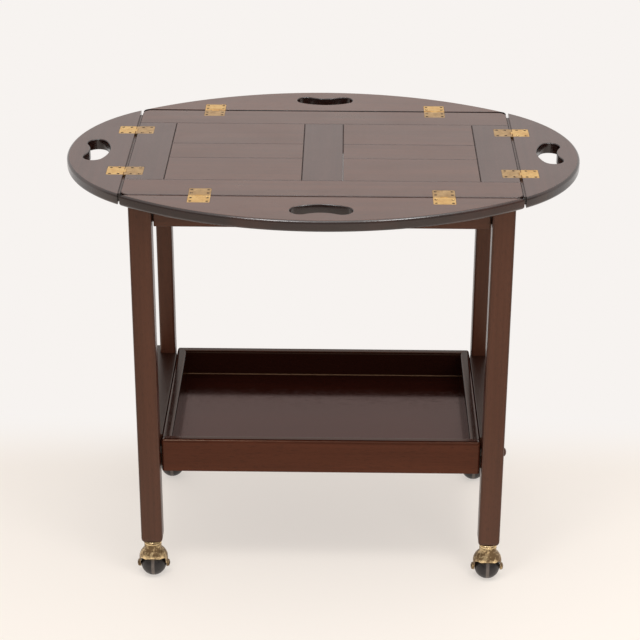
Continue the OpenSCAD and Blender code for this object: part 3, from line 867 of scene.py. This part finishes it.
for fb in ("front", "back"):
    node = "panel_rail_" + fb
    panelBoard(node + "_wood", *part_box(node), "X", hingeFrames(fb), node, panel["corner"])
for lr in ("left", "right"):
    node = "panel_end_" + lr
    panelBoard(node + "_wood", *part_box(node), "Y", hingeFrames(lr), node)
panelBoard("panel_cross_wood", *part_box("panel_cross"), "Y", [], "panel_cross")
for lr in ("left", "right"):
    node = "panel_boards_" + lr
    low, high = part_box(node)
    edges = [low.y, -panel["middleW"] / 2, panel["middleW"] / 2, high.y]
    for k, spot in enumerate(("front", "middle", "back")):
        panelBoard(f"panel_board_{lr}_{spot}", (low.x, edges[k], low.z),
                   (high.x, edges[k + 1], high.z), "X", [], node)
print("panel made")


# Leaves: pieces of a round-edged disc, each with a bent hand hole and a lip under the panel's edge

leaf = {"round": 5 * mm, "roundSteps": 6, "facet": 3.2 * mm, "arris": 1.4 * mm,
        "longEdge": 50 * mm, "holeLen": 102 * mm, "holeW": 36 * mm, "holeAcross": 44 * mm,
        "holeInset": 54 * mm, "holeRound": 2 * mm, "holeSteps": (31, 20, 21), "holeEdge": 5 * mm,
        "holeFrom": 18 * mm, "holeTo": 40 * mm, "holeReach": 0.52, "rimShare": 0.7,
        "cutAbove": 3 * mm, "cutDeep": 30 * mm, "shadeNear": 30 * mm, "shadeFar": 60 * mm,
        "lipOut": 3.6 * mm, "lipIn": 2 * mm,
        "lipDown": 4.4 * mm, "lipDeep": 3 * mm, "lipShort": 16 * mm, "lipRound": 0.6 * mm,
        "tone": {"right": 0.2, "back": 1.0, "left": 0.75, "front": 0.2}, "rimNormal": 0.975}


def wire(name, start, arcs):
    # One vertex spun round each centre in turn, and the outline filled
    deselect()
    bpy.ops.mesh.primitive_plane_add(size=1 * mm, location=start)
    piece = settled(name)
    bpy.context.tool_settings.mesh_select_mode = (True, False, False)
    bpy.ops.object.mode_set(mode="EDIT")
    bpy.ops.mesh.select_all(action="SELECT")
    bpy.ops.mesh.merge(type="CENTER")
    for centre, angle, steps in arcs:
        bpy.ops.mesh.spin(steps=steps, angle=-angle, center=centre, axis=(0, 0, 1))
    bpy.ops.mesh.select_all(action="SELECT")
    bpy.ops.mesh.remove_doubles(threshold=1e-6)
    bpy.ops.mesh.edge_face_add()
    leaveEdit()
    return piece


def arcThrough(half, sagitta):
    # Radius of the arc over a chord, from half the chord and the arc's height
    return (half * half + sagitta * sagitta) / (2 * sagitta)


def holeCutter(reach):
    # In the leaf's frame: outer arc, round end, inner arc and round end in one outline
    half = (leaf["holeLen"] - leaf["holeW"]) / 2
    r = arcThrough(half, leaf["holeAcross"] - leaf["holeW"])
    angle = math.asin(half / r)
    centre = Vector((reach - leaf["holeInset"] + r, 0, leaf["cutAbove"]))
    ends = [centre + Vector((-r * math.cos(angle), s * half, 0)) for s in (-1, 1)]
    # the rim's rounding takes the rest of the width
    outer = r + leaf["holeW"] / 2 - leaf["holeRound"] * leaf["rimShare"]
    start = centre + Vector((-outer * math.cos(angle), outer * math.sin(angle), 0))
    outerSteps, endSteps, innerSteps = leaf["holeSteps"]
    cutter = wire("hole", start, [(centre, 2 * angle, outerSteps), (ends[0], math.pi, endSteps),
                                  (centre, -2 * angle, innerSteps), (ends[1], math.pi, endSteps)])
    enterEdit(cutter, "FACE", allFaces)
    down = (0, 0, -leaf["cutDeep"])
    bpy.ops.mesh.extrude_region_move(TRANSFORM_OT_translate={"value": down})
    leaveEdit()
    facesOut(cutter)
    return cutter


def discFacets(radius, fromCentre):
    # Sides of the disc: even, and with a nearly whole one beside each tip, where the arris ends
    count = 2 * round(math.pi * radius / leaf["facet"])
    while not 0.02 < count * math.asin(fromCentre / radius) / (2 * math.pi) % 1 < 0.2:
        count += 2
    return count


def makeLeaf(side):
    node = "leaf_" + side
    low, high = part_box(node)
    thick = high.z - low.z
    place = leafFrame(side)
    ownCorners = [place.inverted() @ Vector(p) for p in (low, high)]
    near0 = min(c.x for c in ownCorners)
    reach = max(c.x for c in ownCorners)
    half = max(abs(c.y) for c in ownCorners)
    r = arcThrough(half, reach - near0)
    centreX = reach - r
    soft = leaf["round"]
    turns = [math.pi / 2 * k / leaf["roundSteps"] for k in range(leaf["roundSteps"] + 1)]
    rings = [(-thick + soft - soft * math.cos(w), r - soft + soft * math.sin(w)) for w in turns]
    rings += [(-soft + soft * math.sin(w), r - soft + soft * math.cos(w)) for w in turns]
    count = discFacets(r - soft, near0 - centreX)
    piece = turned(node + "_wood", (centreX, 0, 0), "Z", rings, count)
    enterEdit(piece, "FACE", allFaces)
    bpy.ops.mesh.bisect(plane_co=(near0, 0, 0), plane_no=(1, 0, 0), use_fill=True,
                        clear_inner=True)
    bpy.ops.mesh.select_all(action="SELECT")
    bpy.ops.mesh.bisect(plane_co=(0, 0, 0), plane_no=(0, 1, 0))  # so no face has the hole inside it
    leaveEdit()
    roundEdges(piece, leaf["arris"], 3, lambda a, b: near(a.x, near0) and near(b.x, near0)
               and near(a.z, b.z) and abs(a.y - b.y) > leaf["longEdge"])
    lipHalf = half - leaf["lipShort"]
    lipLow = leaf["lipDown"] - thick - leaf["lipDeep"]
    lip = block("lip", (near0 - leaf["lipOut"], -lipHalf, lipLow),
                (near0 + leaf["lipIn"], lipHalf, -leaf["lipDown"]))
    roundEdges(lip, leaf["lipRound"], 2, lambda a, b: near(a.x, b.x) and a.x < near0)
    combine(piece, "UNION", lip)
    cutAway(piece, holeCutter(reach))
    holeX = reach - leaf["holeInset"]

    def byHole(a):
        level = near(a.z, 0) or near(a.z, -thick)
        inReach = holeX - leaf["holeFrom"] < a.x < holeX + leaf["holeTo"]
        return level and abs(a.y) < leaf["holeLen"] * leaf["holeReach"] and inReach

    roundEdges(piece, leaf["holeRound"], 5, lambda a, b: near(a.z, b.z) and byHole(a) and byHole(b)
               and (a - b).length < leaf["holeEdge"])
    cutAway(piece, *[seatCutter(place.inverted() @ spot, True) for spot in hingeFrames(side)])
    piece.data.transform(place)
    along, finish = ("X", "top") if sides.index(side) % 2 else ("Y", "topAcrossShaded")
    finishBoard(piece, along, finish, node, "wood_top", node, tone=leaf["tone"][side])
    # The leaf's whole rounded rim is marked, so it takes the painted rim shade
    markFaces(piece, "edge", lambda c, n: abs(n.z) < leaf["rimNormal"])
    out = place.to_3x3() @ Vector((1, 0, 0))
    hub = place @ Vector((holeX, 0, 0))

    def inPaintedShade(centre, normal):
        # painted shade on the face along the hinge line and on the wall of the hand hole
        past = (centre - hub).dot(out)
        inHole = (centre - hub).length < leaf["shadeFar"] and abs(past) < leaf["shadeNear"]
        return normal.dot(out) < -0.5 and past < -leaf["shadeNear"] or abs(normal.z) < 0.5 and inHole

    markFaces(piece, "inside", inPaintedShade)


for side in sides:
    makeLeaf(side)
print("leaves made")


# Button and plugs over the bolts; foot is a profile in millimetres

button = {"radius": 7.5 * mm, "foot": [(-0.3, 0.8), (0, 0.3), (0.5, 0)], "edge": 1.2 * mm,
          "flatter": 1.3 * mm, "steps": 9}
plugs = {"radius": 4.9 * mm, "proud": 0.35 * mm, "sunk": 2 * mm, "straight": 0.1 * mm}

low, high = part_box("bolt_button")
rings = [(low.x + up, button["radius"] - inward) for up, inward in inMetres(button["foot"])]
rise = high.x - low.x - button["flatter"]
for k in range(button["steps"] + 1):
    angle = math.pi / 2 * k / (button["steps"] + 0.35)
    rings.append((low.x + button["edge"] + rise * math.sin(angle),
                  button["radius"] * math.cos(angle)))
piece = turned("bolt_button_wood", (0, (low.y + high.y) / 2, (low.z + high.z) / 2), "X", rings, 48)
finishBoard(piece, "Y", "stand", "stand", "wood", "bolt_button")

low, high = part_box("bolt_plugs")
r, proud = plugs["radius"], plugs["proud"]
allPlugs = []
for x in (low.x, high.x):
    sign = -1 if x < 0 else 1
    for y in (low.y + r, high.y - r):
        for z in (low.z + r, high.z - r):
            plug = turned("plug", (0, 0, 0), "X", [(-plugs["sunk"], r), (-plugs["straight"], r),
                                                   (proud * 0.6, r * 0.93), (proud, r * 0.6)], 32)
            place = Matrix.Translation((x, y, z)) @ Matrix.Diagonal((sign, 1, 1, 1))
            allPlugs.append(copyOf(plug, place))
            bpy.data.objects.remove(plug)
finishBoard(joinAll("bolt_plugs_wood", allPlugs), "Z", "stand", "stand", "wood", "bolt_plugs")


# Ball casters: collar, hood with stem, axle and ball, modelled once about the stem and copied
# shoulderBeads to axleHead are profiles in millimetres, off the size that each is named for

caster = {"ballR": 22 * mm, "trail": 4 * mm, "hoodR": 25 * mm, "neckR": 15.6 * mm,
          "hoodTop": 70.2 * mm, "shoulder": 55.2 * mm, "dome": 34 * mm, "domeSteps": 14,
          "room": 1.2 * mm, "archTop": 41 * mm, "archHalf": 16 * mm, "archRound": 6 * mm,
          "earX": 27.5 * mm, "earFrom": 20 * mm, "earR": 6 * mm, "earWide": 1.2 * mm,
          "stemR": 4 * mm, "stemLen": 36 * mm, "axleR": 2.5 * mm, "legZ": 73 * mm,
          "socketR": 5.4 * mm, "socketLen": 36 * mm, "tipEase": 0.5 * mm, "rimEase": 0.7 * mm,
          "seamHalf": 0.35 * mm, "seamDeep": 0.35 * mm, "ballSteps": 22, "collarRub": 0.6,
          "sheenSide": (15 * mm, 9 * mm), "sheenRise": (38 * mm, 11 * mm), "beadRub": (0.1, 0.6),
          "beadDeep": 0.5 * mm, "slantSize": (40 * mm, 60 * mm), "slantIn": 20 * mm,
          "shoulderBeads": [(0, -0.2), (1.4, 0.5), (3, 0.6)],
          "neckBeads": [(4.4, 0.6), (3.9, 0.9), (3.4, 0.3), (2.7, 0), (1.2, 0), (0.5, 0.3),
                        (0, 0.9)],
          "collarBead": [(2.5, 0.9), (2.2, 0.35), (1.7, 0), (0.9, 0), (0.4, 0.35), (0, 0.9)],
          "earEnd": [(3, 0.6), (0.8, 0), (0.2, -0.4), (0, -1.1)],
          "axleHead": [(1, 1.2), (0.8, 2.6), (0.3, 3.4), (-0.1, 3.6)]}
ballCentre = (0, caster["trail"], caster["ballR"])
far, deep = caster["slantSize"]  # past the hood on every side


def domeProfile():
    # Radii of the hood's shoulder, an arc from the widest ring to the neck
    rise = caster["shoulder"] - caster["dome"]
    arc = arcThrough(rise, caster["hoodR"] - caster["neckR"])
    turn = math.asin(rise / arc)
    rings = []
    for k in range(caster["domeSteps"] + 1):
        w = turn * k / caster["domeSteps"]
        z = caster["dome"] + arc * math.sin(w)
        share = (z - caster["dome"]) / rise
        back = caster["trail"] * (1 - share * share * (3 - 2 * share))
        rings.append((z, caster["hoodR"] - arc + arc * math.cos(w), back))
    return rings


def rubbedAndSheen(p):
    # How bright a point of the hood is: painted sheen at its low front and back, and rubbed wear on
    # the beads of its neck
    if p.z > caster["shoulder"]:
        outward = math.hypot(p.x, p.y) - caster["neckR"] + caster["beadDeep"]
        least, more = caster["beadRub"]
        return least + more * min(1.0, max(0.0, outward / caster["beadDeep"]))
    # Painted sheen: the low front and back are made bright, for the pale floor they reflect
    (half, fade), (start, fall) = caster["sheenSide"], caster["sheenRise"]
    aside = max(0.0, 1 - max(0.0, abs(p.x) - half) / fade)
    return aside * min(1.0, max(0.0, 1 - (p.z - start) / fall))


def slantCutters():
    # The rim runs up from the ears in a slant instead of ending in points
    clear = caster["earR"] + 0.3 * mm
    corner = clear * math.sqrt(0.5)
    cutters = []
    for sign in (-1, 1):
        for degrees, inward, y, down in ((48, 0, clear * 0.8, 0), (0, 0, clear, 0),
                                         (45, caster["slantIn"], corner, corner)):
            side = block("slant", (-far, -inward, -deep), (far, deep, 0))
            side.data.transform(Matrix.Rotation(math.radians(degrees), 4, "X"))
            side.data.transform(Matrix.Translation((0, y, caster["ballR"] - down)))
            if sign < 0:
                side.data.transform(Matrix.Diagonal((1, -1, 1, 1)))
                side.data.flip_normals()
            side.data.transform(Matrix.Translation((0, caster["trail"], 0)))
            cutters.append(side)
    return cutters


def makeHood():
    low, neck, top, tip = (caster["ballR"] - caster["earR"], caster["neckR"], caster["hoodTop"],
                           caster["tipEase"])
    rings = [(low, caster["hoodR"] - 0.2 * mm, caster["trail"]),
             (low + 4 * mm, caster["hoodR"], caster["trail"])] + domeProfile()
    rings[-1:] = [(caster["shoulder"] + up, neck - inward, 0)
                  for up, inward in inMetres(caster["shoulderBeads"])]
    rings += [(top - down, neck - inward, 0) for down, inward in inMetres(caster["neckBeads"])]
    rings += [(top, caster["stemR"], 0), (top + caster["stemLen"] - tip, caster["stemR"], 0),
              (top + caster["stemLen"], caster["stemR"] - tip, 0)]
    hood = turned("hood", (0, 0, 0), "Z", rings, 72)
    for sign in (-1, 1):
        rings = [(sign * caster["earFrom"], caster["earR"] + caster["earWide"])]
        rings += [(sign * (caster["earX"] - inward), caster["earR"] + wider)
                  for inward, wider in inMetres(caster["earEnd"])]
        combine(hood, "UNION", turned("ear", ballCentre, "X", rings, 40))
    deselect()
    bpy.ops.mesh.primitive_uv_sphere_add(segments=64, ring_count=40, location=ballCentre,
                                         radius=caster["ballR"] + caster["room"])
    hollow = settled("hollow")
    wide = caster["archHalf"] + caster["archRound"]
    arch = block("arch", (-wide, -far, -5 * mm), (wide, far, caster["archTop"]))
    roundEdges(arch, caster["archRound"], 6,
               lambda a, b: near(a.x, b.x) and near(a.z, b.z) and a.z > 0)
    boreR = caster["axleR"] + 0.1 * mm
    bore = turned("bore", ballCentre, "X", [(-far, boreR), (far, boreR)], 24)
    foot = block("foot", (-far, -far, -5 * mm), (far, far, low - 0.01 * mm))
    cutAway(hood, hollow, arch, bore, foot, *slantCutters())
    applyModifier(hood, "BEVEL", width=caster["rimEase"], segments=3, limit_method="ANGLE",
                  angle_limit=math.radians(42), use_clamp_overlap=True)
    markPoints(hood, "rub", rubbedAndSheen)
    return hood


def makeAxle():
    reach = caster["earX"]
    rings = [(-reach - out, radius) for out, radius in inMetres(caster["axleHead"])]
    rings.append((-reach + 0.2 * mm, caster["axleR"]))
    rings += [(-place, radius) for place, radius in reversed(rings)]
    return turned("axle", ballCentre, "X", rings, 32)


def makeBall():
    r, steps = caster["ballR"], caster["ballSteps"]
    edge = math.acos((caster["axleR"] + 0.15 * mm) / r)
    first = math.asin(caster["seamHalf"] / r)
    turns = [first + (edge - first) * k / steps for k in range(steps + 1)]
    halfRings = [(r * math.sin(w), r * math.cos(w)) for w in turns]
    rings = [(-x, y) for x, y in reversed(halfRings)] + [(0, r - caster["seamDeep"])] + halfRings
    ball = turned("ball", ballCentre, "X", rings, 72)
    markPoints(ball, "seam", lambda p: p.x)
    return ball


def makeCollar():
    z, r, socket = caster["legZ"], caster["neckR"], caster["socketR"]
    bead = [(z - down, r - inward) for down, inward in inMetres(caster["collarBead"])]
    rings = [(bead[0][0], caster["stemR"] + 0.1 * mm)] + bead
    rings += [(z, socket), (z + caster["socketLen"] - caster["tipEase"], socket),
              (z + caster["socketLen"], socket - caster["tipEase"])]
    collar = turned("collar", (0, 0, 0), "Z", rings, 64)
    markPoints(collar, "rub", lambda p: caster["collarRub"])
    return collar


hood, axle, ball, collar = makeHood(), makeAxle(), makeBall(), makeCollar()
collars = []
for fb, lr in corners:
    spot = f"{fb}_{lr}"
    low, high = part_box("axle_" + spot)
    place = Matrix.Translation(((low.x + high.x) / 2, (low.y + high.y) / 2 - caster["trail"], 0))
    for name, source, finish, body, slot, node, degrees in (
            ("hood_brass_", hood, "caster", "caster_", "caster_brass", "hood_", 40),
            ("axle_steel_", axle, "bolt", "caster_", "dark_steel", "axle_", 40),
            ("ball_black_", ball, "ball", "wheel_", "ball", "ball_", 60)):
        piece = copyOf(source, place)
        piece.name = name + spot
        shadeByAngle(piece, degrees)
        dress(piece, finish)
        hand(piece, body + spot, slot, node + spot)
    collars.append(copyOf(collar, place))
finishMetal(joinAll("caster_sockets_brass", collars), "caster", "stand", "caster_brass",
            "caster_sockets")
for prototype in (hood, axle, ball, collar):
    bpy.data.objects.remove(prototype)
print("casters made")


# Nodes that stay as they are get their finish

for node, finish in (("corner_blocks", "nodeWood"), ("panel_battens", "nodeWood"),
                     ("batten_screws", "screw"), ("frame_bolts", "bolt"),
                     ("bolt_washers", "bolt"), ("hinge_pins", "panelBrass")):
    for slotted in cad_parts[node].material_slots:
        slotted.material = finishes[finish]
print("nodes dressed")


# Stage: a pale floor that runs on to the background

stage = {"size": 60, "floor": (252, 242, 231), "glow": (255, 249, 243), "beyond": (247, 243, 240),
         "roughness": 0.9, "glowNear": 0.5, "mirrorGlow": 0.3, "mirrorNear": 1.0,
         "nearY": (-0.75, -0.45), "turnY": 0.31, "softness": 0.12, "wave": 1.3, "waveDeep": 0.02}


def seenDirectly(tree):
    # Rays on which the background shows: straight from the camera, mirrored or through glass
    rays = addNode(tree, "ShaderNodeLightPath").outputs
    seen = math2(tree, "MAXIMUM", rays["Is Camera Ray"], rays["Is Glossy Ray"])
    return math2(tree, "MAXIMUM", seen, rays["Is Transmission Ray"]), rays["Is Glossy Ray"]


def mixShaders(tree, share, plain, shown, target):
    mixed = addNode(tree, "ShaderNodeMixShader")
    feed(tree, mixed, {0: share, 1: plain, 2: shown})
    feed(tree, target, {0: mixed.outputs[0]})


def makeFloorMaterial():
    # Pale paper that takes soft shadows near the object and runs on into the background
    material, tree, shader = newMaterial("floorPaper")
    place = objectPlace(tree)
    y = splitPlace(tree, place)[1]
    wavy = plus(tree, y, times(tree, noise(tree, place, stage["wave"], 2.0), stage["waveDeep"]))
    beyond = mapRange(tree, wavy, stage["turnY"] - stage["softness"],
                      stage["turnY"] + stage["softness"], smooth=True)
    feed(tree, shader, {"Base Color": rgb(*stage["floor"]), "Roughness": stage["roughness"],
                        "Specular IOR Level": 0.0})
    seen, mirrored = seenDirectly(tree)
    share = times(tree, seen, mapRange(tree, beyond, 0.0, 1.0, stage["glowNear"], 1.0))
    inMirror = mapRange(tree, y, *stage["nearY"], stage["mirrorGlow"], stage["mirrorNear"])
    glow = addNode(tree, "ShaderNodeEmission")
    feed(tree, glow, {"Color": mixColour(tree, beyond, rgb(*stage["glow"]), rgb(*stage["beyond"])),
                      "Strength": mapRange(tree, mirrored, 0.0, 1.0, 1.0, inMirror)})
    mixShaders(tree, share, shader.outputs[0], glow.outputs[0], tree.nodes["Material Output"])
    return material


deselect()
bpy.ops.mesh.primitive_plane_add(size=stage["size"], location=(0, 0, 0))
floor = bpy.context.object
floor.name = "floor_paper"
floor.data.materials.append(makeFloorMaterial())


# Soft studio light: a dim world, a large lamp above, one in front and two strips for the rims

light = {"world": 0.62, "worldColour": (255, 252, 249), "mirrorDim": 0.3,
         "behind": (-0.35, 0.3), "above": (0.25, 0.85),
         "overPower": 12, "overPlace": (0.25, -0.35, 2.6), "overSize": (2.2, 1.6),
         "overAim": (0, 0, 0.5),
         "fillPower": 22, "fillPlace": (0.9, -2.6, 1.5), "fillSize": (1.8, 1.2),
         "fillAim": (0, 0, 0.4),
         "stripPower": 8.5, "stripPlaces": ((-0.5, -1.06, 2.4), (0.75, -1.01, 2.4)),
         "stripSize": (0.45, 0.5), "stripAim": (0.2, -0.3, 0.7)}


def background(tree, colour, strength):
    node = addNode(tree, "ShaderNodeBackground")
    feed(tree, node, {"Color": rgb(*colour), "Strength": strength})
    return node.outputs[0]


world = bpy.data.worlds.new("studio")
bpy.context.scene.world = world
world.use_nodes = True
tree = world.node_tree
tree.nodes.clear()
seen, mirrored = seenDirectly(tree)
apart = splitPlace(tree, addNode(tree, "ShaderNodeTexCoord").outputs["Generated"])
behind = mapRange(tree, apart[1], *light["behind"], light["mirrorDim"], 1.0, smooth=True)
above = mapRange(tree, apart[2], *light["above"], light["mirrorDim"], 1.0, smooth=True)
graded = math2(tree, "MAXIMUM", behind, above)
lit = background(tree, light["worldColour"], light["world"])
shown = background(tree, stage["beyond"], mapRange(tree, mirrored, 0.0, 1.0, 1.0, graded))
mixShaders(tree, seen, lit, shown, addNode(tree, "ShaderNodeOutputWorld"))


def softLamp(name, kind, place, target):
    lamp = bpy.data.lights.new(name, "AREA")
    lamp.shape = "RECTANGLE"
    lamp.size, lamp.size_y = light[kind + "Size"]
    lamp.energy = light[kind + "Power"]
    lampObject = bpy.data.objects.new(name, lamp)
    bpy.context.scene.collection.objects.link(lampObject)
    lampObject.location = place
    aim = Vector(target) - Vector(place)
    lampObject.rotation_euler = aim.to_track_quat("-Z", "Y").to_euler()
    return lampObject


softLamp("lamp_over", "over", light["overPlace"], light["overAim"])
fillLamp = softLamp("lamp_fill", "fill", light["fillPlace"], light["fillAim"])
fillLamp.visible_glossy = False  # it would whiten the top as seen from behind
share, aimY, aimZ = light["stripAim"]
for k, place in enumerate(light["stripPlaces"]):
    softLamp(f"lamp_strip_{k}", "strip", place, (place[0] * share, aimY, aimZ))


# The photograph's camera

view = {"place": (0.03249, -3.07863, 1.87685), "yaw": 0.01194, "pitchDown": 0.44286,
        "roll": 0.00417, "lens": 109.39, "sensor": 36, "clipEnd": 60}
camera = bpy.data.objects.new("camera", bpy.data.cameras.new("camera"))
bpy.context.scene.collection.objects.link(camera)
camera.data.lens = view["lens"]
camera.data.sensor_width = view["sensor"]
camera.data.clip_end = view["clipEnd"]
turn = (Matrix.Rotation(view["yaw"], 4, "Z")
        @ Matrix.Rotation(math.pi / 2 - view["pitchDown"], 4, "X")
        @ Matrix.Rotation(view["roll"], 4, "Z"))
camera.matrix_world = Matrix.Translation(view["place"]) @ turn
bpy.context.scene.camera = camera
bpy.context.scene.view_settings.view_transform = "Standard"
print("stage, light and camera set")
